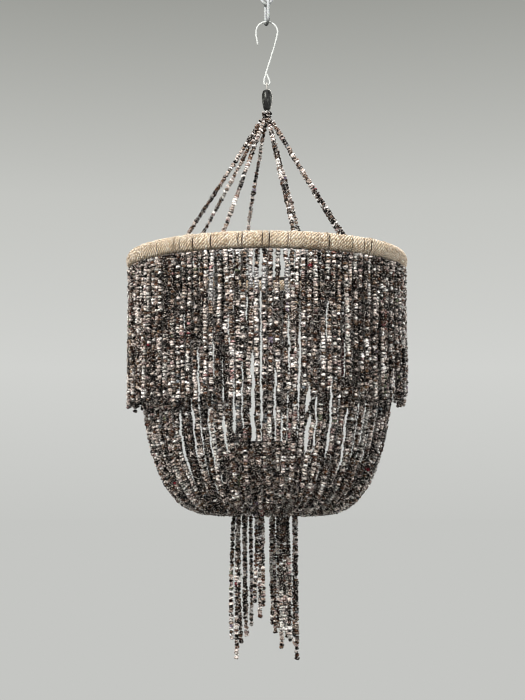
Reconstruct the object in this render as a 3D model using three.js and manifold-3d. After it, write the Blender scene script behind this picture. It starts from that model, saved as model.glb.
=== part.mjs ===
// A beaded pendant shade. A wound hoop carries a fringe of bead strands, a bowl of longer
// strands and six tassels. It hangs by eight bead strands, a cord, an S-hook and a chain.
// Millimetres, +Z up. The origin is the inside of the top bend of the upper chain link.
import * as THREE from "three";
import { mergeVertices } from "three/addons/utils/BufferGeometryUtils.js";
import Module from "manifold-3d";

const wasm = await Module();
wasm.setup();

// Shared sizes
const clearance = 0.3; // between pieces that touch
const overrun = 2; // how far a cutting body passes the face it cuts
const weld = 1e-4; // vertices closer than this are one

// Chain: two long links of round wire
const linkWire = 5;
const linkLength = 45;
const linkWidth = 22;
const linkTurn = 16; // degrees: the lower link isn't quite edge-on

// S-hook: an open bend above, a closed teardrop eye below
const hookWire = 3;
const hookHeight = 110;
const hookBendRadius = 17.8; // of the wire's centre line
const hookEyeRadius = 5;
const hookTipGap = 4.5; // between the centre lines of the eye's tip and of the shank
const hookTipRise = 15; // of the eye's tip over the eye's centre
const hookMouthAngle = 188; // degrees round the open bend to its tail
const hookTailDrop = 22; // of the tail's end under the bend's centre
const hookTailInset = 3; // of the tail's end, inwards from the bend's side

// Hanger cord: a loop through the eye, a doubled stem and a knot
const cordWire = 2.6;
const cordStem = 3.4;
const cordLoopDrop = 8.2; // from the eye's wire to the top of the barrel bead
const cordKnot = 6;

// Barrel bead
const barrelLength = 33.5;
const barrelWidth = 16;
const barrelNeck = 10; // width at either end
const barrelBore = 4.4;

// Bead strands
const beadWidth = 7.2;
const threadWidth = 2;
const waistShare = 0.75; // of the bead's width, between two swellings of a strand

// Apex: the whipped knot that gathers the eight strands
const apexHeight = 18;
const apexWidth = 13;

// Suspension strands
const suspensionCount = 8;
const suspensionDrop = 238; // from the apex knot's middle to the hoop's plane
const suspensionSwellingCount = 9; // swellings drawn along each strand
const suspensionTurn = 16.5; // degrees from +X to the first strand

// Hoop: a cane core inside a wound binding of twisted straw cord
const shadeWidth = 450;
const bindingHeight = 25;
const bindingDepth = 18;
const bindingWall = 2.5;
const bindingRib = 0.7; // depth of the furrow between two groups of turns
const bindingRibCount = 5; // per length of binding
const spokeSeat = 4; // how far a spoke stands in the cane

// Inner hoop and spokes: welded steel rod
const innerHoopInset = 60; // inwards from the middle of the wound hoop
const innerHoopRod = 6;
const spokeRod = 4;

// Fringe: bunches of strands that hang round the hoop
const fringeBunchCount = 16;
const fringeStrandCount = 9; // per bunch
const fringeLength = 219;
const fringeRagged = 5; // how much the ends differ
const fringeOffset = 4.9; // of the fringe, outwards from the middle of the binding
const headingHeight = 3; // of the row of knots that joins a bunch

// Bowl: strands from the hoop, down and in, and up to the small ring
const bowlBunchCount = 8;
const bowlStrandCount = 10; // per bunch, an even number
const bowlDrop = 399; // from the hoop's plane to the strands' lowest point
const bowlLowRadius = 85; // of the lowest point
const bowlOffset = 6.4; // of the strands' top, inwards from the middle of the binding
const bowlLayer = 8; // how far every other strand lies above its neighbours at the bottom
const bowlUpperShares = { radius: 0.954, drop: 0.543 }; // first handle of the outer curve
const bowlLowerShares = { radius: 0.93, drop: 1.01 }; // second handle of the outer curve
const bowlInnerShares = { low: 0.5, rise: 0.47, flare: 0.26 }; // handles of the inner curve
const bowlOuterSteps = [0.36, 0.6, 0.8, 1]; // shares of the outer curve where it is bent
const bowlInnerSteps = [0.5]; // the same for the inner curve
const headingRows = 2; // rows of corners that make one heading

// Small ring, its stays and its tassels
const ringRadius = 50;
const ringRod = 5;
const ringDrop = 289; // from the hoop's plane to the small ring's
const stayCount = 4;
const staySwellingCount = 5;
const tasselCount = 6;
const tasselTurn = 15; // degrees from +X to the first tassel
const tasselLength = 342; // of the longest strand
const tasselPitch = 8.6; // between the strands of one tassel
const tasselShares = [
  [1, 0.94, 0.91],
  [0.87, 0.9, 0.86],
  [0.86, 0.91, 0.83],
  [0.91, 0.99, 0.92],
  [0.73, 0.8, 0.75],
  [0.94, 0.86, 0.91],
]; // each strand's length as a share of the longest, tassel by tassel

// Facets
const wireSides = 8;
const cordSides = 6;
const strandSides = 4;
const bendSteps = 8;
const bindingSides = 8;
const bindingSteps = 5; // of the bore, per length of binding
const coreSides = 6;
const hoopSides = 6;
const innerHoopSteps = 24;
const ringSteps = 24;
const roundSteps = 14;

const rad = THREE.MathUtils.degToRad;
const full = 2 * Math.PI;

// Materials
const finish = (color, roughness, metalness) =>
  new THREE.MeshStandardMaterial({ color, roughness, metalness });
const zincSteel = finish(0xa9acab, 0.4, 0.9);
const paleWire = finish(0xd8dad6, 0.35, 0.7);
const cottonCord = finish(0xe9e6dc, 0.9, 0);
const darkWood = finish(0x2b2a28, 0.6, 0);
const beads = finish(0x4a403b, 0.3, 0);
const strawCord = finish(0xcbb189, 0.85, 0);
const cane = finish(0xb59a68, 0.7, 0);
const blackSteel = finish(0x25231f, 0.5, 0.6);

// Hoop sizes, worked out
const hoopRadius = (shadeWidth - bindingDepth) / 2;
const bindingHalfDepth = bindingDepth / 2;
const bindingHalfHeight = bindingHeight / 2;
const coreHalfDepth = bindingHalfDepth - bindingWall;
const coreHalfHeight = bindingHalfHeight - bindingWall;
const innerHoopRadius = hoopRadius - innerHoopInset;

// A closed surface through rings of points. Each ring turns the same way about the path.
function skin(rings, closed = false) {
  const sides = rings[0].length;
  const spans = closed ? rings.length : rings.length - 1;
  const index = [];
  for (let ring = 0; ring < spans; ring++) {
    const here = ring * sides;
    const next = ((ring + 1) % rings.length) * sides;
    for (let side = 0; side < sides; side++) {
      const after = (side + 1) % sides;
      index.push(here + side, here + after, next + after);
      index.push(here + side, next + after, next + side);
    }
  }
  if (!closed) {
    const last = (rings.length - 1) * sides;
    for (let side = 1; side < sides - 1; side++) {
      index.push(0, side + 1, side);
      index.push(last, last + side, last + side + 1);
    }
  }
  const geometry = new THREE.BufferGeometry();
  const position = rings.flat().flatMap((point) => point.toArray());
  geometry.setAttribute("position", new THREE.Float32BufferAttribute(position, 3));
  geometry.setIndex(index);
  geometry.computeVertexNormals();
  return geometry;
}

// A round tube along a curve. radiusAt gives the radius at a share of the curve's length.
function tube(curve, steps, sides, radiusAt, closed = false) {
  const frames = curve.computeFrenetFrames(steps, closed);
  const rings = [];
  for (let step = 0; step < (closed ? steps : steps + 1); step++) {
    const centre = curve.getPointAt(step / steps);
    const radius = radiusAt(step / steps);
    const ring = [];
    for (let side = 0; side < sides; side++) {
      const angle = (side / sides) * full;
      ring.push(
        centre
          .clone()
          .addScaledVector(frames.normals[step], Math.cos(angle) * radius)
          .addScaledVector(frames.binormals[step], Math.sin(angle) * radius),
      );
    }
    rings.push(ring);
  }
  return skin(rings, closed);
}

// A point at a radius, an azimuth in radians and a height.
const polar = (radius, azimuth, height) =>
  new THREE.Vector3(radius * Math.cos(azimuth), radius * Math.sin(azimuth), height);

// One oval section of a hoop, at an azimuth.
function hoopSection(azimuth, radius, height, halfDepth, halfHeight, sides) {
  const ring = [];
  for (let side = 0; side < sides; side++) {
    const angle = (side / sides) * full;
    const reach = radius + halfDepth * Math.cos(angle);
    ring.push(polar(reach, azimuth, height - halfHeight * Math.sin(angle)));
  }
  return ring;
}

function solidOf(geometry) {
  const bare = new THREE.BufferGeometry();
  bare.setAttribute("position", geometry.getAttribute("position"));
  bare.setIndex(geometry.index);
  const merged = mergeVertices(bare, weld);
  return new wasm.Manifold(
    new wasm.Mesh({
      numProp: 3,
      vertProperties: merged.getAttribute("position").array,
      triVerts: new Uint32Array(merged.index.array),
    }),
  );
}

function geometryOf(solid) {
  const mesh = solid.getMesh();
  const geometry = new THREE.BufferGeometry();
  geometry.setAttribute("position", new THREE.BufferAttribute(mesh.vertProperties, 3));
  geometry.setIndex(new THREE.BufferAttribute(mesh.triVerts, 1));
  geometry.computeVertexNormals();
  return geometry;
}

const object = new THREE.Group();

function addPiece(name, geometry, material, parent = object) {
  const mesh = new THREE.Mesh(geometry, material);
  mesh.name = name;
  parent.add(mesh);
  return mesh;
}

// Heights, worked out downwards from the origin
const linkBend = (linkWidth - linkWire) / 2; // radius of the wire's centre line
const linkHalf = (linkLength - linkWire) / 2; // centre of a link to its end wire's centre
const upperLinkHeight = linkWire / 2 - linkHalf;
const lowerLinkHeight = upperLinkHeight - 2 * linkHalf + linkWire + clearance;
const hookTop = lowerLinkHeight - linkHalf + (linkWire + hookWire) / 2 + clearance;
const eyeWireHeight = hookTop - (hookHeight - hookWire); // lowest point of the wire's centre
const barrelTop = eyeWireHeight - cordLoopDrop;
const knotHeight = barrelTop - barrelLength - clearance - cordKnot / 2;
const apexMiddle = knotHeight - cordKnot / 2 - clearance - apexHeight / 2;
const hoopHeight = apexMiddle - suspensionDrop;
const ringHeight = hoopHeight - ringDrop;

// Chain
function linkGeometry() {
  const route = [];
  const straight = linkHalf - linkBend;
  for (const [centre, from] of [
    [straight, 0],
    [-straight, Math.PI],
  ]) {
    for (let step = 0; step <= bendSteps; step++) {
      const angle = from + (step / bendSteps) * Math.PI;
      route.push(
        new THREE.Vector3(
          linkBend * Math.cos(angle),
          0,
          centre + linkBend * Math.sin(angle),
        ),
      );
    }
  }
  const rings = route.map((centre, place) => {
    const bendCentre = new THREE.Vector3(0, 0, place > bendSteps ? -straight : straight);
    const out = centre.clone().sub(bendCentre).normalize();
    const ring = [];
    for (let side = 0; side < wireSides; side++) {
      const angle = (side / wireSides) * full;
      ring.push(
        centre
          .clone()
          .addScaledVector(out, (linkWire / 2) * Math.cos(angle))
          .add(new THREE.Vector3(0, (linkWire / 2) * Math.sin(angle), 0)),
      );
    }
    return ring;
  });
  return skin(rings, true);
}

function addChain() {
  addPiece("upper_chain_link", linkGeometry(), zincSteel).position.z = upperLinkHeight;
  const lower = addPiece("lower_chain_link", linkGeometry(), zincSteel);
  lower.position.z = lowerLinkHeight;
  lower.rotation.z = Math.PI / 2 + rad(linkTurn);
}

// S-hook
function addHook() {
  const bendCentre = hookTop - hookBendRadius;
  const eyeCentre = eyeWireHeight + hookEyeRadius;
  const tail = hookTailInset - hookBendRadius;
  const route = [new THREE.Vector3(tail, 0, bendCentre - hookTailDrop)];
  for (let step = 0; step <= bendSteps; step++) {
    const angle = rad(hookMouthAngle * (1 - step / bendSteps));
    route.push(
      new THREE.Vector3(
        hookBendRadius * Math.cos(angle),
        0,
        bendCentre + hookBendRadius * Math.sin(angle),
      ),
    );
  }
  for (let step = 0; step <= bendSteps; step++) {
    const angle = Math.PI * (1 + step / bendSteps);
    route.push(
      new THREE.Vector3(
        hookEyeRadius * Math.cos(angle),
        0,
        eyeCentre + hookEyeRadius * Math.sin(angle),
      ),
    );
  }
  route.push(
    new THREE.Vector3(hookTipGap - hookEyeRadius, 0, eyeCentre + hookTipRise),
  );
  const curve = new THREE.CatmullRomCurve3(route, false, "centripetal");
  const steps = 5 * bendSteps;
  addPiece("s_hook", tube(curve, steps, wireSides, () => hookWire / 2), paleWire);
}

// Hanger cord and barrel bead
function addHangerCord() {
  const loopRadius = hookWire / 2 + clearance + cordWire / 2;
  const neck = (cordStem - cordWire) / 2;
  const route = [];
  for (let step = 0; step <= bendSteps; step++) {
    const angle = (step / bendSteps) * Math.PI;
    route.push(
      new THREE.Vector3(
        0,
        loopRadius * Math.cos(angle),
        eyeWireHeight + loopRadius * Math.sin(angle),
      ),
    );
  }
  route.push(new THREE.Vector3(0, -neck, barrelTop + cordWire / 2));
  route.push(new THREE.Vector3(0, neck, barrelTop + cordWire / 2));
  const loop = tube(
    new THREE.CatmullRomCurve3(route, true, "centripetal"),
    2 * bendSteps,
    cordSides,
    () => cordWire / 2,
    true,
  );
  const stemTop = barrelTop + cordWire / 2;
  const stem = new THREE.CylinderGeometry(
    cordStem / 2,
    cordStem / 2,
    stemTop - knotHeight,
    wireSides,
  );
  stem.rotateX(Math.PI / 2).translate(0, 0, (stemTop + knotHeight) / 2);
  const knot = new THREE.SphereGeometry(cordKnot / 2, wireSides, cordSides);
  knot.rotateX(Math.PI / 2).translate(0, 0, knotHeight);
  const solid = [loop, stem, knot].map(solidOf).reduce((sum, next) => sum.add(next));
  addPiece("hanger_cord", geometryOf(solid), cottonCord);
}

function addBarrelBead() {
  const half = barrelLength / 2;
  const chamfer = (barrelNeck - barrelBore) / 4;
  const profile = [
    new THREE.Vector2(barrelBore / 2, -half),
    new THREE.Vector2(barrelNeck / 2 - chamfer, -half),
    new THREE.Vector2(barrelNeck / 2, chamfer - half),
    new THREE.Vector2((barrelNeck + barrelWidth) / 4, -half / 2),
    new THREE.Vector2(barrelWidth / 2, 0),
    new THREE.Vector2(barrelWidth / 2, half / 2),
    new THREE.Vector2(barrelNeck / 2, half - chamfer / 2),
    new THREE.Vector2(barrelNeck / 2 - chamfer, half),
    new THREE.Vector2(barrelBore / 2, half),
    new THREE.Vector2(barrelBore / 2, -half),
  ];
  const bead = new THREE.LatheGeometry(profile, roundSteps);
  bead.rotateX(Math.PI / 2);
  addPiece("barrel_bead", bead, darkWood).position.z = barrelTop - half;
}

// A straight strand, thin where it is tied, with a swelling for each group of beads.
function beadedStrand(from, to, swellings) {
  const steps = 2 * swellings;
  const width = (share) => {
    const step = Math.round(share * steps);
    if (step === 0 || step === steps) return threadWidth;
    return step % 2 ? beadWidth : beadWidth * waistShare;
  };
  const curve = new THREE.LineCurve3(from, to);
  return tube(curve, steps, strandSides, (share) => width(share) / 2);
}

// Apex knot and the strands that hang from it
const apexStrandRadius = apexWidth / 2 + clearance + threadWidth / 2;

function addSuspension() {
  const half = apexHeight / 2;
  const profile = [
    new THREE.Vector2(0, -half),
    new THREE.Vector2(apexWidth / 4, -half),
    new THREE.Vector2(apexWidth / 2, -half / 3),
    new THREE.Vector2(apexWidth / 2, half / 3),
    new THREE.Vector2(apexWidth / 4, half),
    new THREE.Vector2(0, half),
  ];
  const knot = new THREE.LatheGeometry(profile, roundSteps);
  knot.rotateX(Math.PI / 2);
  addPiece("apex_knot", knot, beads).position.z = apexMiddle;

  for (let number = 0; number < suspensionCount; number++) {
    const azimuth = rad(suspensionTurn) + (number / suspensionCount) * full;
    const from = polar(apexStrandRadius, azimuth, apexMiddle);
    const rod = polar(innerHoopRadius, azimuth, hoopHeight);
    const short = innerHoopRod / 2 + clearance + threadWidth / 4;
    const to = rod.clone().lerp(from, short / rod.distanceTo(from));
    addPiece(
      "suspension_strand_" + (number + 1),
      beadedStrand(from, to, suspensionSwellingCount),
      beads,
    );
  }
}

// Hoop: core, binding, inner hoop and spokes
function spokeCutter(azimuth, radius, from, to) {
  const rod = new THREE.CylinderGeometry(radius, radius, to - from, cordSides);
  rod.translate(0, (from + to) / 2, 0).rotateZ(azimuth - Math.PI / 2);
  rod.translate(0, 0, hoopHeight);
  return solidOf(rod);
}

const spokeAzimuth = (number) =>
  rad(suspensionTurn) + (number / suspensionCount) * full;

function addHoopCore() {
  const steps = suspensionCount * bindingSteps;
  const rings = [];
  for (let step = 0; step < steps; step++) {
    const azimuth = rad(suspensionTurn) + (step / steps) * full;
    rings.push(
      hoopSection(
        azimuth,
        hoopRadius,
        hoopHeight,
        coreHalfDepth,
        coreHalfHeight,
        coreSides,
      ),
    );
  }
  let core = solidOf(skin(rings, true));
  for (let number = 0; number < suspensionCount; number++) {
    const inside = hoopRadius - coreHalfDepth;
    core = core.subtract(
      spokeCutter(
        spokeAzimuth(number),
        spokeRod / 2 + clearance,
        inside - overrun,
        inside + spokeSeat + clearance,
      ),
    );
  }
  addPiece("hoop_core", geometryOf(core), cane);
}

function addBinding() {
  const gap = clearance / hoopRadius; // half the angle left between two lengths
  for (let number = 0; number < suspensionCount; number++) {
    const from = spokeAzimuth(number) + gap;
    const to = spokeAzimuth(number + 1) - gap;
    const outer = [];
    for (let step = 0; step <= 2 * bindingRibCount; step++) {
      const furrow = step % 2 ? 0 : bindingRib;
      outer.push(
        hoopSection(
          from + ((to - from) * step) / (2 * bindingRibCount),
          hoopRadius,
          hoopHeight,
          bindingHalfDepth - furrow,
          bindingHalfHeight - furrow,
          bindingSides,
        ),
      );
    }
    const bore = [];
    const past = overrun / hoopRadius;
    for (let step = 0; step <= bindingSteps; step++) {
      bore.push(
        hoopSection(
          from - past + ((to - from + 2 * past) * step) / bindingSteps,
          hoopRadius,
          hoopHeight,
          coreHalfDepth + clearance,
          coreHalfHeight + clearance,
          coreSides,
        ),
      );
    }
    let sleeve = solidOf(skin(outer)).subtract(solidOf(skin(bore)));
    for (const end of [number, number + 1]) {
      sleeve = sleeve.subtract(
        spokeCutter(
          spokeAzimuth(end),
          spokeRod / 2 + clearance,
          hoopRadius - bindingHalfDepth - overrun,
          hoopRadius,
        ),
      );
    }
    addPiece("hoop_binding_" + (number + 1), geometryOf(sleeve), strawCord);
  }
}

function addInnerHoop() {
  const hoop = new THREE.TorusGeometry(
    innerHoopRadius,
    innerHoopRod / 2,
    hoopSides,
    innerHoopSteps,
  );
  hoop.rotateZ(rad(suspensionTurn)).translate(0, 0, hoopHeight);
  let frame = solidOf(hoop);
  const reach = hoopRadius - coreHalfDepth + spokeSeat;
  for (let number = 0; number < suspensionCount; number++) {
    const azimuth = spokeAzimuth(number);
    frame = frame.add(spokeCutter(azimuth, spokeRod / 2, innerHoopRadius, reach));
  }
  addPiece("inner_hoop", geometryOf(frame), blackSteel);
}

// A curtain: strands side by side, joined to their neighbours only where a row is a heading.
// place(strand, row) gives a centre, a unit vector across, a unit vector outwards and the
// half sizes along both.
function curtain(strands, rows, isHeading, place) {
  const position = [];
  for (let strand = 0; strand < strands; strand++) {
    for (let row = 0; row < rows; row++) {
      const { centre, across, out, halfWidth, halfDepth } = place(strand, row);
      for (const [side, face] of [
        [-1, -1],
        [1, -1],
        [1, 1],
        [-1, 1],
      ]) {
        const corner = centre
          .clone()
          .addScaledVector(across, side * halfWidth)
          .addScaledVector(out, face * halfDepth);
        position.push(...corner.toArray());
      }
    }
  }
  const corner = (strand, row, which) => 4 * (strand * rows + row) + which;
  const index = [];
  const quad = (a, b, c, d) => index.push(a, d, c, a, c, b);
  for (let strand = 0; strand < strands; strand++) {
    const at = (row, which) => corner(strand, row, which);
    quad(at(0, 0), at(0, 1), at(0, 2), at(0, 3));
    quad(at(rows - 1, 3), at(rows - 1, 2), at(rows - 1, 1), at(rows - 1, 0));
    for (let row = 0; row < rows - 1; row++) {
      const joined = isHeading(row);
      for (let face = 0; face < 4; face++) {
        const hidden =
          joined &&
          ((face === 1 && strand < strands - 1) || (face === 3 && strand > 0));
        const after = (face + 1) % 4;
        if (!hidden) {
          quad(at(row + 1, face), at(row + 1, after), at(row, after), at(row, face));
        }
      }
      if (joined && strand < strands - 1) {
        const near = (down, which) => corner(strand, row + down, which);
        const far = (down, which) => corner(strand + 1, row + down, which);
        quad(near(0, 1), near(1, 1), far(1, 0), far(0, 0));
        quad(near(1, 2), near(0, 2), far(0, 3), far(1, 3));
        if (row === 0 || !isHeading(row - 1)) {
          quad(near(0, 1), far(0, 0), far(0, 3), near(0, 2));
        }
        if (row === rows - 2 || !isHeading(row + 1)) {
          quad(near(1, 1), near(1, 2), far(1, 3), far(1, 0));
        }
      }
    }
  }
  const geometry = new THREE.BufferGeometry();
  geometry.setAttribute("position", new THREE.Float32BufferAttribute(position, 3));
  geometry.setIndex(index);
  geometry.computeVertexNormals();
  return geometry;
}

// A steady scatter between -1 and 1 for a whole number.
function scatter(seed) {
  const mixed = Math.sin(seed * 127.1 + 311.7) * 43758.5453;
  return 2 * (mixed - Math.floor(mixed)) - 1;
}

const down = new THREE.Vector3(0, 0, -1);
const outwards = (azimuth) => polar(1, azimuth, 0);
const along = (azimuth) => polar(1, azimuth + Math.PI / 2, 0);

// A heading hangs just under the binding, flush with its lowest line.
const headingDrop = bindingHalfHeight + clearance + headingHeight / 2;
const headingAt = hoopHeight - headingDrop;

// Fringe
const fringeRadius = hoopRadius + fringeOffset;

function addFringe() {
  const bunchAngle = full / fringeBunchCount;
  for (let bunch = 0; bunch < fringeBunchCount; bunch++) {
    const middle = (bunch + 0.5) * bunchAngle;
    const place = (strand, row) => {
      const share = (strand + 0.5) / fringeStrandCount - 0.5;
      const azimuth = middle + share * bunchAngle;
      const ragged = fringeRagged * scatter(bunch * fringeStrandCount + strand);
      const length = fringeLength + ragged;
      const depth = [-headingHeight / 2, headingHeight / 2, length][row];
      return {
        centre: polar(fringeRadius, azimuth, headingAt - depth),
        across: along(azimuth),
        out: outwards(azimuth),
        halfWidth: beadWidth / 2,
        halfDepth: beadWidth / 2,
      };
    };
    const geometry = curtain(fringeStrandCount, 3, (row) => row === 0, place);
    addPiece("fringe_" + (bunch + 1), geometry, beads);
  }
}

// Bowl
const bowlTopRadius = hoopRadius - bowlOffset;
const ringHeadingDepth = headingHeight;
const ringOuterSeat = ringRadius + ringRod / 2 + clearance + ringHeadingDepth / 2;

// The strand's centre line in its own upright plane: x is the radius, y the height.
function bowlCurves(layer) {
  const lift = layer * bowlLayer;
  const low = hoopHeight - bowlDrop + lift;
  const ringGap = bowlLowRadius - ringOuterSeat;
  const outer = new THREE.CubicBezierCurve(
    new THREE.Vector2(bowlTopRadius, headingAt),
    new THREE.Vector2(
      bowlTopRadius * bowlUpperShares.radius,
      hoopHeight - bowlDrop * bowlUpperShares.drop,
    ),
    new THREE.Vector2(
      bowlTopRadius * bowlLowerShares.radius - lift,
      hoopHeight - bowlDrop * bowlLowerShares.drop + lift,
    ),
    new THREE.Vector2(bowlLowRadius, low),
  );
  const inner = new THREE.CubicBezierCurve(
    new THREE.Vector2(bowlLowRadius, low),
    new THREE.Vector2(bowlLowRadius - ringGap * bowlInnerShares.low, low),
    new THREE.Vector2(
      ringOuterSeat + ringGap * bowlInnerShares.flare,
      low + (ringHeight - low) * bowlInnerShares.rise,
    ),
    new THREE.Vector2(ringOuterSeat, ringHeight),
  );
  return [outer, inner];
}

function addBowl() {
  const bunchAngle = full / bowlBunchCount;
  const layers = [bowlCurves(0), bowlCurves(1)];
  const stops = [
    ...bowlOuterSteps.map((share) => [0, share]),
    ...bowlInnerSteps.map((share) => [1, share]),
  ];
  const rows = stops.length + 2 * headingRows;
  const room = (radius) => (full * radius) / bowlBunchCount / bowlStrandCount - clearance;
  const place = (middle) => (strand, row) => {
    const share = (strand + 0.5) / bowlStrandCount - 0.5;
    const azimuth = middle + share * bunchAngle;
    const curves = layers[strand % 2];
    const across = along(azimuth);
    const level = outwards(azimuth);
    const atTop = row < 2;
    const atRing = row > rows - 3;
    if (atTop || atRing) {
      const radius = atTop ? bowlTopRadius : ringOuterSeat;
      const middleHeight = atTop ? headingAt : ringHeight;
      const first = atTop ? row === 0 : row === rows - 1;
      const height = middleHeight + (first ? 1 : -1) * (headingHeight / 2);
      return {
        centre: polar(radius, azimuth, height),
        across,
        out: atTop ? level : level.clone().negate(),
        halfWidth: (atTop ? beadWidth : room(ringOuterSeat) / 2) / 2,
        halfDepth: (atTop ? beadWidth : ringHeadingDepth) / 2,
      };
    }
    const [leg, stop] = stops[row - 2];
    const point = curves[leg].getPoint(stop);
    const tangent = curves[leg].getTangent(stop);
    const out = level
      .clone()
      .multiplyScalar(-tangent.y)
      .addScaledVector(down, -tangent.x);
    return {
      centre: polar(point.x, azimuth, point.y),
      across,
      out,
      halfWidth: Math.min(beadWidth, room(point.x - beadWidth / 2)) / 2,
      halfDepth: beadWidth / 2,
    };
  };
  for (let bunch = 0; bunch < bowlBunchCount; bunch++) {
    const isHeading = (row) => row === 0 || row === rows - 2;
    const geometry = curtain(bowlStrandCount, rows, isHeading, place(bunch * bunchAngle));
    addPiece("bowl_strands_" + (bunch + 1), geometry, beads);
  }
}

// Small ring, stays and tassels
function addSmallRing() {
  const ring = new THREE.TorusGeometry(ringRadius, ringRod / 2, hoopSides, ringSteps);
  addPiece("small_ring", ring, blackSteel).position.z = ringHeight;

  for (let number = 0; number < stayCount; number++) {
    const azimuth = (number / stayCount) * full;
    const above = polar(innerHoopRadius, azimuth, hoopHeight);
    const below = polar(ringRadius, azimuth, ringHeight);
    const length = above.distanceTo(below);
    const tie = clearance + threadWidth / 4;
    const from = above.clone().lerp(below, (innerHoopRod / 2 + tie) / length);
    const to = below.clone().lerp(above, (ringRod / 2 + tie) / length);
    addPiece("stay_strand_" + (number + 1), beadedStrand(from, to, staySwellingCount), beads);
  }
}

// A tassel's heading is straight, so its two ends are what meets the faceted ring.
function tasselSeat(strands) {
  const halfSpan = ((strands - 1) * tasselPitch + threadWidth) / 2;
  const inner = (ringRadius - ringRod / 2) * Math.cos(Math.PI / ringSteps) - clearance;
  return Math.sqrt(inner ** 2 - halfSpan ** 2) - ringHeadingDepth / 2;
}

function addTassels() {
  tasselShares.forEach((shares, number) => {
    const seat = tasselSeat(shares.length);
    const azimuth = rad(tasselTurn) + (number / tasselCount) * full;
    const across = along(azimuth);
    const out = outwards(azimuth);
    const place = (strand, row) => {
      const offset = (strand - (shares.length - 1) / 2) * tasselPitch;
      const depth = [
        -headingHeight / 2,
        headingHeight / 2,
        headingHeight / 2 + beadWidth,
        tasselLength * shares[strand] - beadWidth,
        tasselLength * shares[strand],
      ][row];
      const heading = row < 2;
      const tied = heading || row === 4;
      return {
        centre: polar(seat, azimuth, ringHeight - depth).addScaledVector(across, offset),
        across,
        out,
        halfWidth: (tied ? threadWidth : beadWidth) / 2,
        halfDepth: (heading ? ringHeadingDepth : tied ? threadWidth : beadWidth) / 2,
      };
    };
    const geometry = curtain(shares.length, 5, (row) => row === 0, place);
    addPiece("tassel_" + (number + 1), geometry, beads);
  });
}

addChain();
addHook();
addHangerCord();
addBarrelBead();
addSuspension();
addHoopCore();
addBinding();
addInnerHoop();
addFringe();
addBowl();
addSmallRing();
addTassels();

export default object;
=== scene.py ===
import math

import bpy
import numpy as np
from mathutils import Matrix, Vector


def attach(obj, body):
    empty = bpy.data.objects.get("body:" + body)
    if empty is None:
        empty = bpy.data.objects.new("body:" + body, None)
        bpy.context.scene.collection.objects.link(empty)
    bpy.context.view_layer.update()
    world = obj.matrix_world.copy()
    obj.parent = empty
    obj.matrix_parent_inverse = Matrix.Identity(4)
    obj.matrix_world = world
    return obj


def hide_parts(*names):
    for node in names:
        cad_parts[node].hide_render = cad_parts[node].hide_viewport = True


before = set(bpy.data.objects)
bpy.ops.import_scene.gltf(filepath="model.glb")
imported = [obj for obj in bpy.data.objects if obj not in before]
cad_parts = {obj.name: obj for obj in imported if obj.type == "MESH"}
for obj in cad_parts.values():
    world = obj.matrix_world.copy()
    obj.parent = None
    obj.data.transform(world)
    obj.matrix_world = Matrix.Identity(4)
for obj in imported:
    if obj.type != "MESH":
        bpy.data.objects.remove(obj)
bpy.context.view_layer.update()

mm = 0.001
full = 2 * math.pi

# Chain, hook, cord and barrel bead
clearance = 0.3 * mm
link_wire = 5 * mm
link_length = 45 * mm
link_width = 22 * mm
link_turn = math.radians(16)
hook_wire = 3 * mm
hook_height = 110 * mm
hook_bend = 17.8 * mm
hook_eye = 5 * mm
hook_tip_gap = 4.5 * mm
hook_tip_rise = 15 * mm
hook_mouth = math.radians(188)
hook_tail_drop = 22 * mm
hook_tail_inset = 3 * mm
cord_wire = 2.6 * mm
cord_stem = 3.4 * mm
cord_loop_drop = 8.2 * mm
cord_knot = 6 * mm
barrel_length = 33.5 * mm
barrel_width = 16 * mm
barrel_neck = 10 * mm
barrel_bore = 4.4 * mm

# Shade
bead_width = 7.1 * mm
bead_pitch = 4.5 * mm
bead_lean = 0.2
thread_width = 1.1 * mm
apex_height = 18 * mm
apex_width = 13 * mm
apex_share = 0.42  # the apex hangs in the barrel bead's shadow
strand_count = 8
first_spoke = math.radians(16.5)
suspension_drop = 238 * mm
hoop_radius = 216 * mm
binding_half_depth = 9 * mm
binding_half_height = 12.5 * mm
inner_hoop_radius = hoop_radius - 60 * mm
inner_hoop_rod = 6 * mm
spoke_rod = 4 * mm
straw_cord = 2.0 * mm
straw_pitch = 2.05 * mm
straw_twists = 6.775  # twists of the straw cord in one turn of the winding
fringe_bunches = 16
fringe_strands = 9
fringe_length = 219 * mm
fringe_ragged = 8 * mm
fringe_lean = 4 * mm  # the fringe is longer on the left
fringe_radius = hoop_radius + 4.9 * mm
heading_height = 3 * mm
bowl_bunches = 8
bowl_strands = 16
bowl_drop = 399 * mm
bowl_low_radius = 85 * mm
bowl_top_radius = hoop_radius - 6.4 * mm
bowl_layer = 8 * mm
ring_radius = 50 * mm
ring_rod = 5 * mm
ring_drop = 289 * mm
tassel_length = 342 * mm
tassel_pitch = 8.6 * mm
tassel_radius = 44.3 * mm
tassel_drawn_share = 0.62  # how close a tassel's strands hang under the bowl
tassel_leans = (-3.5 * mm, 2.2 * mm, -1.7 * mm, -5.7 * mm, 1.8 * mm, -4.7 * mm)
tassel_turns = (60, 0, -30, 60, 0, -30)  # degrees that its row of strands turns under the bowl
first_tassel = math.radians(15)
tassel_length_shares = [
    (1, 0.94, 0.91),
    (0.87, 0.9, 0.86),
    (0.86, 0.91, 0.83),
    (0.91, 0.99, 0.92),
    (0.73, 0.8, 0.75),
    (0.94, 0.86, 0.91),
]

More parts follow.
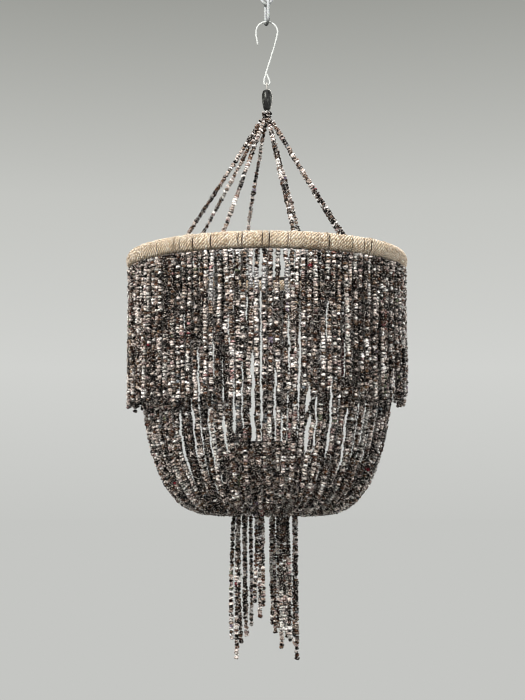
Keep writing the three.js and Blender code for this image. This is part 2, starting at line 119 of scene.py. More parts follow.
# Heights, downwards from the top link
link_bend = (link_width - link_wire) / 2
link_half = (link_length - link_wire) / 2
upper_link = link_wire / 2 - link_half
lower_link = upper_link - 2 * link_half + link_wire + clearance
hook_top = lower_link - link_half + (link_wire + hook_wire) / 2 + clearance
eye_wire = hook_top - (hook_height - hook_wire)
barrel_top = eye_wire - cord_loop_drop
knot_height = barrel_top - barrel_length - clearance - cord_knot / 2
apex_middle = knot_height - cord_knot / 2 - clearance - apex_height / 2
hoop_height = apex_middle - suspension_drop
ring_height = hoop_height - ring_drop
heading_at = hoop_height - binding_half_height - clearance - heading_height / 2

# The photograph's camera, worked out from the hoop's two edges
picture_height = 700
focal_pixels = 1279
sensor_width = 36.0
view_tilt = math.radians(5.63)
view_distance = 2040 * mm
view_height = hoop_height - 341 * mm
view_aside = -7 * mm


# Vectors in arrays


def unit(vectors):
    return vectors / np.linalg.norm(vectors, axis=-1, keepdims=True)


def polar(radius, azimuth, height):
    """Points at radii, azimuths and heights."""
    radius, azimuth, height = np.broadcast_arrays(radius, azimuth, height)
    return np.stack([radius * np.cos(azimuth), radius * np.sin(azimuth), height], axis=-1)


def lengths_along(path):
    steps = np.linalg.norm(np.diff(path, axis=0), axis=1)
    return np.concatenate([[0], np.cumsum(steps)])


def points_at(path, places):
    """Points of a path at lengths along it."""
    run = lengths_along(path)
    return np.stack([np.interp(places, run, path[:, axis]) for axis in range(3)], axis=1)


def root_distance(start, end):
    return math.sqrt(max(np.linalg.norm(end - start), 1e-9))


def smooth_through(points, per_span, closed=False):
    """A centripetal curve through points."""
    points = np.asarray(points, float)
    count = len(points)
    spans = count if closed else count - 1
    curve = []
    for span in range(spans):
        if closed:
            last, start, end, following = (points[(span + ahead) % count] for ahead in (-1, 0, 1, 2))
        else:
            start, end = points[span], points[span + 1]
            last = points[span - 1] if span else 2 * start - end
            following = points[span + 2] if span + 2 < count else 2 * end - start
        before = root_distance(last, start)
        here = root_distance(start, end)
        after = root_distance(end, following)
        leave = (start - last) / before - (end - last) / (before + here) + (end - start) / here
        arrive = (end - start) / here - (following - start) / (here + after)
        arrive = arrive + (following - end) / after
        for step in range(per_span):
            share = step / per_span
            curve.append(
                (2 * share**3 - 3 * share**2 + 1) * start
                + (share**3 - 2 * share**2 + share) * (leave * here)
                + (3 * share**2 - 2 * share**3) * end
                + (share**3 - share**2) * (arrive * here)
            )
    if not closed:
        curve.append(points[-1])
    return np.array(curve)


# Meshes


def add_piece(
    name, points, faces, material, body, replaced=(), tint=None, smooth=True
):
    """A mesh piece. faces is a list of arrays, each with faces of one size."""
    mesh = bpy.data.meshes.new(name)
    corners = np.concatenate([group.ravel() for group in faces]).astype(np.int32)
    sizes = np.concatenate([np.full(len(group), group.shape[1]) for group in faces])
    starts = np.concatenate([[0], np.cumsum(sizes)[:-1]]).astype(np.int32)
    mesh.vertices.add(len(points))
    mesh.vertices.foreach_set("co", np.asarray(points, np.float32).ravel())
    mesh.loops.add(len(corners))
    mesh.loops.foreach_set("vertex_index", corners)
    mesh.polygons.add(len(sizes))
    mesh.polygons.foreach_set("loop_start", starts)
    mesh.update(calc_edges=True)
    mesh.validate()
    mesh.polygons.foreach_set("use_smooth", np.full(len(mesh.polygons), smooth))
    if tint is not None:
        colours = mesh.attributes.new("tint", "FLOAT_COLOR", "POINT")
        colours.data.foreach_set("color", np.asarray(tint, np.float32).ravel())
    mesh.materials.append(material)
    piece = bpy.data.objects.new(name, mesh)
    bpy.context.scene.collection.objects.link(piece)
    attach(piece, body)
    if replaced:
        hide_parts(*replaced)


def joined(parts):
    """One set of points, faces and tints from several."""
    points, groups, tints, first = [], {}, [], 0
    for part_points, part_faces, part_tint in parts:
        points.append(part_points)
        tints.append(part_tint)
        for group in part_faces:
            groups.setdefault(group.shape[1], []).append(group + first)
        first += len(part_points)
    faces = [np.concatenate(groups[size]) for size in sorted(groups)]
    return np.concatenate(points), faces, np.concatenate(tints)


def path_frames(path, closed=False):
    """Two normals carried along a path without twist."""
    if closed:
        tangents = unit(np.roll(path, -1, axis=0) - np.roll(path, 1, axis=0))
    else:
        tangents = unit(np.gradient(path, axis=0))
    reference = np.eye(3)[np.argmin(np.abs(tangents[0]))]
    normal = unit(np.cross(tangents[0], reference))
    normals = np.empty_like(path)
    for place, tangent in enumerate(tangents):
        normal = normal - tangent * normal.dot(tangent)
        normal = normal / math.sqrt(normal.dot(normal))
        normals[place] = normal
    if closed:
        last = normals[-1] - tangents[0] * normals[-1].dot(tangents[0])
        last = unit(last)
        side = np.cross(tangents[0], normals[0])
        stray = math.atan2(last.dot(side), last.dot(normals[0]))
        turn = -stray * np.arange(len(path)) / len(path)
        sides = np.cross(tangents, normals)
        normals = np.cos(turn)[:, None] * normals + np.sin(turn)[:, None] * sides
    return normals, np.cross(tangents, normals)


def ring_faces(rings, sides, closed=False):
    """Quads between rings of points, and caps where the tube is open."""
    spans = rings if closed else rings - 1
    here = np.arange(spans)[:, None] * sides
    after = ((np.arange(spans) + 1) % rings)[:, None] * sides
    side = np.arange(sides)[None, :]
    turned = (side + 1) % sides
    quads = np.stack([here + side, here + turned, after + turned, after + side], axis=-1)
    faces = [quads.reshape(-1, 4)]
    if not closed:
        first = np.arange(sides)[::-1]
        last = (rings - 1) * sides + np.arange(sides)
        faces.append(np.stack([first, last]))
    return faces


def tube(
    path, radius, sides, closed=False, plies=0, lay=1, depth=0.0, round_ends=False, turn=None
):
    """A tube along a path. plies lobes turn about it, once in each length lay or by turn."""
    path = np.asarray(path, float)
    normals, sideways = path_frames(path, closed)
    run = lengths_along(path)
    radius = np.broadcast_to(np.asarray(radius, float), len(path)).copy()
    if round_ends:
        for end, distance in ((0, run), (-1, run[-1] - run)):
            share = np.clip(distance / radius[end], 0, 1)
            radius *= np.sqrt(np.clip(1 - (1 - share) ** 2, 0.02, 1))
    angle = np.arange(sides) / sides * full
    turn = full * run / lay if turn is None else turn
    lobe = 1 + depth * np.cos(plies * (angle[None, :] - turn[:, None])) if plies else 1
    reach = radius[:, None] * lobe * np.ones((1, sides))
    points = (
        path[:, None, :]
        + (reach * np.cos(angle))[..., None] * normals[:, None, :]
        + (reach * np.sin(angle))[..., None] * sideways[:, None, :]
    )
    return points.reshape(-1, 3), ring_faces(len(path), sides, closed)


def plain(part, value=(1, 1, 1, 1)):
    """A part with one tint all over."""
    points, faces = part
    return points, faces, np.tile(np.asarray(value, float), (len(points), 1))


def lathe(profile, sides):
    """A turned form about the z axis from (radius, height) pairs, closed on itself."""
    profile = np.asarray(profile, float)
    azimuth = np.arange(sides) / sides * full
    points = polar(profile[:, :1], azimuth[None, :], profile[:, 1:])
    return points.reshape(-1, 3), ring_faces(len(profile), sides, closed=True)[:1]


# Finishes


class Value:
    """A socket that takes part in sums."""

    def __init__(self, finish, socket):
        self.finish = finish
        self.socket = socket

    def maths(self, operation, *values):
        sockets = dict(enumerate(values))
        return self.finish.node("ShaderNodeMath", {"operation": operation}, sockets)

    def __add__(self, other):
        return self.maths("ADD", self, other)

    __radd__ = __add__

    def __mul__(self, other):
        return self.maths("MULTIPLY", self, other)

    __rmul__ = __mul__


class Finish:
    """A material's nodes, with one method that makes each of them."""

    def __init__(self, name, owner=None):
        self.material = owner or bpy.data.materials.new(name)
        self.material.use_nodes = True
        self.tree = self.material.node_tree
        self.tree.nodes.clear()

    def node(self, kind, settings=None, sockets=None, output=0):
        made = self.tree.nodes.new(kind)
        for key, value in (settings or {}).items():
            if key == "stops":
                ramp = made.color_ramp.elements
                while len(ramp) < len(value):
                    ramp.new(1)
                for element, (place, colour) in zip(ramp, value):
                    element.position = place
                    element.color = colour
            else:
                setattr(made, key, value)
        for key, value in (sockets or {}).items():
            if isinstance(value, Value):
                self.tree.links.new(value.socket, made.inputs[key])
            else:
                made.inputs[key].default_value = value
        return None if output is None else Value(self, made.outputs[output])

    def place(self, stretch=(1, 1, 1)):
        """The surface's own place, stretched."""
        where = self.node("ShaderNodeTexCoord", output="Object")
        return self.node("ShaderNodeMapping", sockets={"Vector": where, "Scale": stretch})

    def tint(self, output="Color"):
        """The tint that the mesh's points carry."""
        return self.node("ShaderNodeAttribute", {"attribute_name": "tint"}, output=output)

    def noise(self, scale, detail=2, stretch=(1, 1, 1), rough=0.5):
        return self.node(
            "ShaderNodeTexNoise",
            sockets={
                "Vector": self.place(stretch),
                "Scale": scale,
                "Detail": detail,
                "Roughness": rough,
            },
        )

    def blend(self, share, low, high, way="MIX"):
        """Two colours mixed."""
        return self.node(
            "ShaderNodeMix",
            {"data_type": "RGBA", "blend_type": way},
            {0: share, 6: low, 7: high},
            output=2,
        )

    def ramp(self, value, *stops):
        return self.node("ShaderNodeValToRGB", {"stops": stops}, {"Fac": value})

    def bump(self, height, distance, strength=1.0):
        sockets = {"Height": height, "Distance": distance, "Strength": strength}
        return self.node("ShaderNodeBump", sockets=sockets, output="Normal")

    def surface(self, **sockets):
        named = {key.replace("_", " "): value for key, value in sockets.items()}
        shader = self.node("ShaderNodeBsdfPrincipled", sockets=named)
        self.show(shader)
        return self.material

    def show(self, shader, kind="ShaderNodeOutputMaterial"):
        self.node(kind, sockets={"Surface": shader}, output=None)


def linear(code):
    """A linear colour from six hexadecimal digits."""
    shares = [int(code[place : place + 2], 16) / 255 for place in (0, 2, 4)]
    return [
        share / 12.92 if share <= 0.04045 else ((share + 0.055) / 1.055) ** 2.4
        for share in shares
    ]


def rgba(code):
    return (*linear(code), 1.0)


def make_bead_finish():
    finish = Finish("lacquered_chips")
    tint = finish.tint()
    dullness = finish.tint("Alpha")
    streak = finish.noise(360, 3, (1, 1, 1.6))
    fleck = finish.noise(1500, 2)
    painted_glint_noise = finish.noise(380, 1, (1, 1, 1.5))
    colour = finish.blend(
        1.0,
        tint,
        finish.ramp(streak, (0.40, (0.2, 0.17, 0.15, 1)), (0.57, (1.95, 1.88, 1.82, 1))),
        "MULTIPLY",
    )
    # Painted glints: pale flecks (ebe0d6) on the chips stand in for highlights
    painted_glints = finish.ramp(painted_glint_noise, (0.58, (0, 0, 0, 1)), (0.63, (1, 1, 1, 1)))
    colour = finish.blend(0.8 * painted_glints, colour, rgba("ebe0d6"))
    return finish.surface(
        Base_Color=colour,
        Roughness=0.12 + 0.22 * dullness + 0.12 * fleck,
        Specular_IOR_Level=0.14,
        Normal=finish.bump(streak + 0.3 * fleck, 0.8 * mm, 0.5),
    )


def make_straw_finish():
    finish = Finish("straw_cord")
    tint = finish.tint()
    fibre = finish.noise(520, 4, (1, 1, 0.7), 0.7)
    patch = finish.noise(38, 3)
    colour = finish.ramp(fibre, (0.4, rgba("7d6246")), (0.5, rgba("e8d0ac")), (0.57, rgba("fffaf0")))
    shade = finish.ramp(patch, (0.3, (0.86, 0.83, 0.8, 1)), (0.7, (1.08, 1.08, 1.1, 1)))
    colour = finish.blend(1.0, colour, shade, "MULTIPLY")
    colour = finish.blend(1.0, colour, tint, "MULTIPLY")
    return finish.surface(
        Base_Color=colour,
        Roughness=0.88,
        Sheen_Weight=0.25,
        Sheen_Roughness=0.5,
        Normal=finish.bump(fibre, 0.35 * mm, 0.6),
    )


def make_cord_finish():
    finish = Finish("white_cotton_cord")
    fibre = finish.noise(1900, 3, (1, 1, 0.5))
    colour = finish.ramp(fibre, (0.3, rgba("bdbab2")), (0.7, rgba("efece4")))
    return finish.surface(
        Base_Color=colour,
        Roughness=0.9,
        Sheen_Weight=0.3,
        Sheen_Roughness=0.5,
        Normal=finish.bump(fibre, 0.3 * mm, 0.5),
    )


def make_zinc_finish():
    finish = Finish("dull_zinc")
    spangle = finish.node(
        "ShaderNodeTexVoronoi", sockets={"Vector": finish.place(), "Scale": 420.0}, output="Color"
    )
    grime = finish.noise(160, 4)
    height = finish.node(
        "ShaderNodeSeparateXYZ", sockets={"Vector": finish.place()}, output="Z"
    )
    # Painted shade: the lower link's bottom bend, under the hook, is darkened to 5e605d
    painted_shade_fade = finish.node(
        "ShaderNodeMapRange", sockets={0: height, 1: lower_link - link_half, 2: lower_link - link_bend}
    )
    tone = finish.blend(0.08, rgba("c2c6c6"), spangle, "SOFT_LIGHT")
    colour = finish.blend(
        1.0, tone, finish.ramp(grime, (0.35, (0.8, 0.79, 0.78, 1)), (0.6, (1, 1, 1, 1))), "MULTIPLY"
    )
    colour = finish.blend(painted_shade_fade, rgba("5e605d"), colour)
    return finish.surface(
        Base_Color=colour,
        Metallic=0.35,
        Roughness=0.5 + 0.2 * grime,
        Normal=finish.bump(grime, 0.1 * mm, 0.2),
    )


def make_wire_finish():
    finish = Finish("pale_galvanised_wire")
    drawn = finish.noise(700, 2, (1, 1, 0.12))
    cloud = finish.noise(130, 3)
    colour = finish.ramp(cloud, (0.3, rgba("d2d4d0")), (0.65, rgba("e6e8e4")))
    return finish.surface(
        Base_Color=colour,
        Metallic=0.15,
        Roughness=0.6 + 0.2 * drawn,
        Normal=finish.bump(drawn, 0.05 * mm, 0.2),
    )


def make_barrel_finish():
    finish = Finish("stained_open_grain")
    grain = finish.noise(900, 4, (1, 1, 0.14), 0.6)
    cloud = finish.noise(230, 3, (1, 1, 0.45))
    colour = finish.ramp(
        0.6 * cloud + 0.4 * grain,
        (0.44, rgba("080807")),
        (0.53, rgba("1c1d1a")),
        (0.63, rgba("9a9d95")),
    )
    return finish.surface(
        Base_Color=colour,
        Roughness=0.34 + 0.3 * grain,
        Specular_IOR_Level=0.3,
        Normal=finish.bump(grain, 0.5 * mm, 0.6),
    )


def make_cane_finish():
    finish = Finish("dark_cane")
    grain = finish.noise(500, 3, (1, 1, 0.3))
    colour = finish.ramp(grain, (0.3, rgba("2a1a0d")), (0.7, rgba("4f3519")))
    return finish.surface(
        Base_Color=colour, Roughness=0.75, Normal=finish.bump(grain, 0.4 * mm, 0.5)
    )


def make_rod_finish():
    finish = Finish("black_painted_rod")
    wear = finish.noise(320, 4)
    orange = finish.noise(1800, 2)
    colour = finish.ramp(wear, (0.45, rgba("1d1b18")), (0.72, rgba("3d3832")))
    return finish.surface(
        Base_Color=colour,
        Metallic=0.25,
        Roughness=0.34 + 0.25 * wear,
        Normal=finish.bump(orange, 0.12 * mm, 0.35),
    )


bead_finish = make_bead_finish()
straw_finish = make_straw_finish()
cord_finish = make_cord_finish()
zinc_finish = make_zinc_finish()
wire_finish = make_wire_finish()
barrel_finish = make_barrel_finish()
cane_finish = make_cane_finish()
rod_finish = make_rod_finish()


# Beads: irregular glossy chips with a wedge to each, in a few shapes

chip_sides = 8
chip_shapes = 12
chip_levels = np.array([-1, -0.46, 0.46, 1])
chip_reach = np.array([0.58, 1, 1, 0.58])
painted_groove_shades = np.array([0.1, 1, 1, 0.1])  # painted shade in the grooves between beads
chip_oval_share = 0.13
chip_corner_share = 0.09
chip_rough_share = 0.09
chip_ring_share = 0.07
chip_wedge_share = 0.24
chip_wave_share = 0.1


def make_chips():
    dice = np.random.default_rng(7)
    angle = np.arange(chip_sides) / chip_sides * full
    shapes = []
    for _ in range(chip_shapes):
        two, three, lean = dice.uniform(0, full, 3)
        outline = 1 + chip_oval_share * np.cos(2 * (angle - two))
        outline = outline + chip_corner_share * np.cos(3 * (angle - three))
        outline = outline + dice.uniform(-chip_rough_share, chip_rough_share, chip_sides)
        rings = []
        for level, reach in zip(chip_levels, chip_reach):
            rough = dice.uniform(-chip_ring_share, chip_ring_share, chip_sides)
            radius = reach * outline * (1 + rough)
            wave = dice.uniform(-chip_wave_share, chip_wave_share, chip_sides)
            rise = level * (1 + chip_wedge_share * np.cos(angle - lean)) + wave
            rings.append(np.stack([radius * np.cos(angle), radius * np.sin(angle), rise], axis=1))
        shapes.append(np.concatenate(rings))
    return np.array(shapes)


chips = make_chips()
chip_faces = ring_faces(len(chip_levels), chip_sides)

# Colours of the chips, by mood: a strand keeps to one mood for a few beads
near_black = [linear(code) for code in ("0b0705", "150b07", "200f09", "100c09", "14110a")]
browns = [linear(code) for code in ("4b3226", "5d4232", "463428", "67503d", "4f3f30")]
greys = [linear(code) for code in ("867568", "a3938a", "bfb3aa", "978583", "b4a89f")]
pales = [linear(code) for code in ("d8cec8", "e9e2dd", "f8f5f2", "e0d6d1", "ffffff")]
clears = [linear(code) for code in ("b9bab6", "cccdc9", "d9dad6", "a9aaa6")]
brights = [
    linear(code)
    for code in ("7a2b35", "a5807f", "646d55", "84705f", "85798f", "6e777e", "6e473d", "a5927f")
]
families = [near_black, browns, greys, pales, clears, brights]
moods = {
    "dark": (0.56, 0.26, 0.09, 0.08, 0.0, 0.01),
    "mixed": (0.34, 0.18, 0.15, 0.28, 0.02, 0.03),
    "grey": (0.18, 0.14, 0.38, 0.26, 0.02, 0.02),
    "pale": (0.14, 0.06, 0.14, 0.62, 0.02, 0.02),
    "clear": (0.06, 0.04, 0.08, 0.26, 0.56, 0.0),
    "bright": (0.20, 0.20, 0.12, 0.06, 0.0, 0.42),
}
# Beads keep less of their colour, as in shadow: at a strand's sides and back, where the
# fringe hangs before them, and in the bowl's inner layer
side_share = 0.3
under_share = 0.66
inner_share = 0.8
fringe_end = hoop_height - fringe_length - 12 * mm

# Shares of the moods in the order above
fringe_shares = (0.27, 0.36, 0.14, 0.16, 0.04, 0.03)
bowl_shares = (0.31, 0.36, 0.13, 0.14, 0.03, 0.03)
tassel_shares = (0.45, 0.28, 0.12, 0.08, 0.06, 0.01)
dark_shares = (0.50, 0.05, 0.28, 0.07, 0.09, 0.01)
apex_shares = (0.85, 0.10, 0.05, 0.0, 0.0, 0.0)

mood_run = (3, 15)  # beads that keep to one mood
colour_spread_share = (0.8, 1.2)


def chip_tints(count, dice, shares):
    """A colour and a dullness for each bead of a strand."""
    tints = []
    while len(tints) < count:
        mood = moods[list(moods)[dice.choice(len(moods), p=shares)]]
        bright = dice.integers(len(brights))
        for _ in range(dice.integers(*mood_run)):
            family = dice.choice(len(families), p=mood)
            colours = families[family]
            pick = bright if family == len(families) - 1 else dice.integers(len(colours))
            colour = np.array(colours[pick]) * dice.uniform(*colour_spread_share)
            tints.append([*colour, dice.random() ** 2])
    return np.clip(np.array(tints[:count]), 0, 1)


# Painted light: in these patches near the top of the shade, seen from the front, beads take a pale
# grey tint that stands in for light seen through the shade. Each patch has a place across the hoop, a
# top and a bottom under it, and half its width.
painted_light_patches = [
    (-14 * mm, 5 * mm, 42 * mm, 16 * mm),
    (-86 * mm, 15 * mm, 62 * mm, 10 * mm),
    (32 * mm, 5 * mm, 50 * mm, 8 * mm),
]
painted_light_tint = np.array(linear("d4d6d8"))
painted_light_spread_share = (0.6, 1.05)


def seen_at(points):
    """Places across the hoop and depths under it, as seen from the front in its middle plane."""
    nearer = view_distance / (view_distance + points[..., 1])
    across = view_aside + (points[..., 0] - view_aside) * nearer
    depth = hoop_height - view_height - (points[..., 2] - view_height) * nearer
    return across, depth


def in_painted_light(points):
    across, depth = seen_at(points)
    found = np.zeros(len(points), bool)
    for place, top, bottom, half in painted_light_patches:
        found |= (np.abs(across - place) < half) & (depth > top) & (depth < bottom)
    return found


bead_wander = 0.28 * mm
bead_pitch_share = (0.78, 1.24)
bead_width_share = (0.86, 1.1)
bead_thickness_share = (0.85, 1.12)
facing_reach = 1.2  # how soon a bead's side takes its full colour outwards


def string_beads(path, dice, shares, width=bead_width, free=0.0, hidden=1.0):
    """Beads strung along a path, from the length left free at its start. hidden is the
    share of its colour that a bead keeps where it doesn't face outwards."""
    run = lengths_along(path)[-1]
    places = [free + bead_pitch / 2]
    while places[-1] < run - bead_pitch / 2:
        places.append(places[-1] + bead_pitch * dice.uniform(*bead_pitch_share))
    places = np.array(places[:-1] if len(places) > 1 else places)
    count = len(places)
    step = bead_pitch / 4
    centres = points_at(path, places)
    axes = unit(points_at(path, places + step) - points_at(path, places - step))
    axes = unit(axes + dice.normal(0, bead_lean, (count, 3)))
    centres = centres + dice.normal(0, bead_wander, (count, 3))
    across = unit(np.cross(axes, dice.normal(0, 1, (count, 3))))
    third = np.cross(axes, across)
    radius = width / 2 * dice.uniform(*bead_width_share, count)
    thick = bead_pitch / 2 * dice.uniform(*bead_thickness_share, count)
    shape = chips[dice.integers(chip_shapes, size=count)]
    points = (
        centres[:, None, :]
        + (shape[..., 0] * radius[:, None])[..., None] * across[:, None, :]
        + (shape[..., 1] * radius[:, None])[..., None] * third[:, None, :]
        + (shape[..., 2] * thick[:, None])[..., None] * axes[:, None, :]
    )
    per_chip = shape.shape[1]
    first = (np.arange(count) * per_chip)[:, None, None]
    faces = [(group[None] + first).reshape(-1, group.shape[1]) for group in chip_faces]
    tint = np.tile(chip_tints(count, dice, shares)[:, None, :], (1, per_chip, 1))
    # Painted light: beads in the patches take the pale tint
    clear = in_painted_light(centres)
    shade = dice.uniform(*painted_light_spread_share, (clear.sum(), 1, 1))
    tint[clear, :, :3] = painted_light_tint * shade
    # Painted shade: each bead's end rings are darkened, in the grooves between beads
    tint[..., :3] *= np.repeat(painted_groove_shades, chip_sides)[:, None]
    # Painted shade on each bead's faces that turn away from the outside
    outward = unit(centres * (1, 1, 0) + (0, 0, 1e-9))
    facing = (unit(points - centres[:, None, :]) * outward[:, None, :]).sum(axis=-1)
    kept = hidden + (1 - hidden) * np.clip(facing * facing_reach, 0, 1)
    tint[..., :3] *= kept[..., None]
    return points.reshape(-1, 3), faces, tint.reshape(-1, 4)


def drift(count, dice, size, waves=3):
    """A slow sideways wander, nothing at its start."""
    along = np.linspace(0, 1, count)
    total = np.zeros(count)
    for wave in range(1, waves + 1):
        phase = dice.uniform(0, full)
        swing = np.sin(wave * full * along / 2 + phase) - math.sin(phase)
        total += dice.normal(0, 1) / wave * swing
    return size * total


thread_tint = (0.055, 0.043, 0.034, 1)
thread_sides = 4
thread_every = 6  # the thread takes each sixth point of its strand's path


def thread(path):
    """The thread that a strand's beads are on."""
    places = list(range(0, len(path), thread_every))
    if places[-1] != len(path) - 1:
        places.append(len(path) - 1)
    return plain(tube(path[places], thread_width / 2, thread_sides), thread_tint)


def add_beads(name, parts, body, node):
    """The strung beads and threads that replace one solid, as one piece."""
    points, faces, tint = joined(parts)
    add_piece(name, points, faces, bead_finish, body, [node], tint, smooth=False)


# The line of a bowl strand


def bezier(start, leave, arrive, end, steps):
    share = np.linspace(0, 1, steps)[:, None]
    rest = 1 - share
    start, leave, arrive, end = (
        np.asarray(point, float) for point in (start, leave, arrive, end)
    )
    return (
        rest**3 * start
        + 3 * rest**2 * share * leave
        + 3 * rest * share**2 * arrive
        + share**3 * end
    )


ring_seat = ring_radius + ring_rod / 2 + clearance + heading_height / 2


def bowl_line(layer):
    """A bowl strand's (radius, height) line from the hoop to the small ring."""
    lift = layer * bowl_layer
    low = hoop_height - bowl_drop + lift
    gap = bowl_low_radius - ring_seat
    outer = bezier(
        (bowl_top_radius, heading_at),
        (bowl_top_radius * 0.954, hoop_height - bowl_drop * 0.543),
        (bowl_top_radius * 0.93 - lift, hoop_height - bowl_drop * 1.01 + lift),
        (bowl_low_radius, low),
        90,
    )
    inner = bezier(
        (bowl_low_radius, low),
        (bowl_low_radius - gap * 0.5, low),
        (ring_seat + gap * 0.26, low + (ring_height - low) * 0.47),
        (ring_seat, ring_height),
        30,
    )
    return np.concatenate([outer, inner[1:]])


bowl_outline = bowl_line(0)[:90]
bowl_depths = hoop_height - bowl_outline[:, 1]
bowl_narrowing = bowl_outline[:, 0] / bowl_top_radius


# Lanes of light: the strands part along some lines of sight from the front, as in the
# photograph. Each lane has a place across the hoop, a top and a bottom under it, and half
# its width, all seen in the plane of the shade's axis.

lanes = [
    (-153 * mm, 205 * mm, 352 * mm, 0.6 * mm),
    (-136 * mm, 50 * mm, 130 * mm, 0.1 * mm),
    (-128 * mm, 200 * mm, 330 * mm, 0.1 * mm),
    (-114 * mm, 120 * mm, 215 * mm, 0.2 * mm),
    (-101 * mm, 215 * mm, 345 * mm, 0.1 * mm),
    (-90 * mm, 80 * mm, 205 * mm, 0.1 * mm),
    (-76 * mm, 160 * mm, 305 * mm, 0.2 * mm),
    (-63 * mm, 60 * mm, 150 * mm, 0.2 * mm),
    (-58 * mm, 215 * mm, 290 * mm, 0.3 * mm),
    (-42 * mm, 140 * mm, 280 * mm, 0.4 * mm),
    (-34 * mm, 35 * mm, 105 * mm, 0.1 * mm),
    (-24 * mm, 130 * mm, 316 * mm, 2.0 * mm),
    (-9 * mm, -60 * mm, 40 * mm, 0.8 * mm),
    (-8 * mm, 90 * mm, 262 * mm, 0.3 * mm),
    (14 * mm, 150 * mm, 262 * mm, 0.8 * mm),
    (26 * mm, -60 * mm, 56 * mm, 0.4 * mm),
    (36 * mm, 70 * mm, 190 * mm, 0.2 * mm),
    (54 * mm, 100 * mm, 235 * mm, 0.2 * mm),
    (72 * mm, 190 * mm, 316 * mm, 3.6 * mm),
    (85 * mm, 190 * mm, 320 * mm, 0.7 * mm),
    (98 * mm, 40 * mm, 130 * mm, 0.1 * mm),
    (110 * mm, 170 * mm, 320 * mm, 0.7 * mm),
    (129 * mm, 110 * mm, 200 * mm, 0.1 * mm),
    (138 * mm, 215 * mm, 350 * mm, 0.5 * mm),
    (176 * mm, 285 * mm, 360 * mm, 0.7 * mm),
]
lane_give = 0.3
lane_fade = 24 * mm
lane_sine = 0.45  # strands at the shade's left and right, below this sine, keep their line
lane_outer_share = 0.8  # so do points inside this share of the bowl's width
lane_waves = ((1.2 * mm, 6 * mm), (1.3 * mm, 15 * mm))


def beside_lanes(aside, radius, azimuth, height):
    """How far a strand lies aside once it keeps clear of the lanes."""
    sine = math.sin(azimuth)
    if abs(sine) < lane_sine:
        return aside
    x = radius * math.cos(azimuth) - aside * sine
    nearer = view_distance / (view_distance + radius * sine)
    across, depth = seen_at(np.stack([x, radius * sine, height], axis=1))
    narrowing = np.interp(depth, bowl_depths, bowl_narrowing)
    outer = radius > lane_outer_share * narrowing * bowl_top_radius
    for place, top, bottom, half in lanes:
        line = place * narrowing
        for swing, length in lane_waves:
            line = line + swing * np.sin(depth / length + place / mm)
        away = across - line
        within = outer * np.clip(np.minimum(depth - top, bottom - depth) / lane_fade, 0, 1)
        if not within.any():
            continue
        side = 1 if (away * within).sum() > 0 else -1
        away = away * side
        clear = bead_width / 2 * nearer + half
        pushed = np.maximum(away, clear + lane_give * away.clip(0))
        across = across + side * within * (pushed - away)
    x = view_aside + (across - view_aside) / nearer
    return (radius * math.cos(azimuth) - x) / sine


# Fringe

strand_wander = 0.9 * mm
fringe_sway = 1.5 * mm
fringe_ragged_share = (-1.4, 0.5)
fringe_inwards = (-0.6, 3.4)  # mm
fringe_knot_share = 0.1  # the part of its length over which a strand leaves its knot
fringe_bunch_room = 0.5 * mm
fringe_first_bead = 1.2 * mm


def add_fringe():
    bunch_angle = full / fringe_bunches
    for bunch in range(fringe_bunches):
        dice = np.random.default_rng(100 + bunch)
        middle = (bunch + 0.5) * bunch_angle
        parts = []
        half_room = (bunch_angle * fringe_radius - bead_width) / 2 - fringe_bunch_room
        for strand in range(fringe_strands):
            share = (strand + 0.5) / fringe_strands - 0.5
            length = fringe_length + fringe_ragged * dice.uniform(*fringe_ragged_share)
            length -= fringe_lean * math.cos(middle + share * bunch_angle)
            steps = 70
            along = np.linspace(0, 1, steps)
            inwards = dice.uniform(*fringe_inwards) * mm * np.clip(along / fringe_knot_share, 0, 1)
            radius = fringe_radius - inwards + drift(steps, dice, strand_wander)
            own = share * bunch_angle * fringe_radius
            aside = own + dice.normal(0, strand_wander)
            aside = aside + drift(steps, dice, fringe_sway, 4)
            level = heading_at + heading_height / 2 - along * length
            azimuth = middle + share * bunch_angle
            aside = own + beside_lanes(aside - own, radius, azimuth, level)
            aside = np.clip(aside, -half_room, half_room)
            path = polar(radius, middle + aside / fringe_radius, level)
            parts.append(
                string_beads(
                    path, dice, fringe_shares, free=fringe_first_bead, hidden=side_share
                )
            )
            parts.append(thread(path[:-2]))
        number = bunch + 1
        add_beads(
            f"fringe_beads_{number}", parts, f"fringe_bunch_{number}", f"fringe_{number}"
        )


# Bowl

bowl_sway = 1.1 * mm
bowl_bulge = (-1.4, 1.0)  # mm
bowl_rise = (-0.5, 1.5)  # mm
shadow_edge = 6 * mm


def add_bowl():
    bunch_angle = full / bowl_bunches
    for bunch in range(bowl_bunches):
        dice = np.random.default_rng(300 + bunch)
        middle = bunch * bunch_angle
        parts = []
        for strand in range(bowl_strands):
            share = (strand + 0.5) / bowl_strands - 0.5
            azimuth = middle + share * bunch_angle
            line = bowl_line(strand % 2)
            steps = len(line)
            fade = np.sin(np.linspace(0, 1, steps) * math.pi)
            radius = line[:, 0] + fade * dice.uniform(*bowl_bulge) * mm
            height = line[:, 1] + fade * dice.uniform(*bowl_rise) * mm
            sway = fade * (dice.normal(0, strand_wander) + drift(steps, dice, bowl_sway, 4))
            sway = beside_lanes(sway, radius, azimuth, height) / line[:, 0]
            path = polar(radius, azimuth + sway, height)
            points, faces, tint = string_beads(path, dice, bowl_shares, hidden=side_share)
            # Painted shade: bowl beads above the fringe's lower end, where it hangs before them, and
            # the inner layer are darkened
            edge = (fringe_end - shadow_edge, fringe_end + shadow_edge)
            behind = np.interp(points[:, 2], edge, (1, under_share))
            # beads in the painted light patches keep their tint, free of the painted shade
            behind = np.where(in_painted_light(points), 1, behind)
            if strand % 2:
                behind = behind * inner_share
            tint[:, :3] *= behind[:, None]
            parts.append((points, faces, tint))
            parts.append(thread(path))
        number = bunch + 1
        add_beads(f"bowl_beads_{number}", parts, "lamp", f"bowl_strands_{number}")


# Suspension strands, stays and the apex

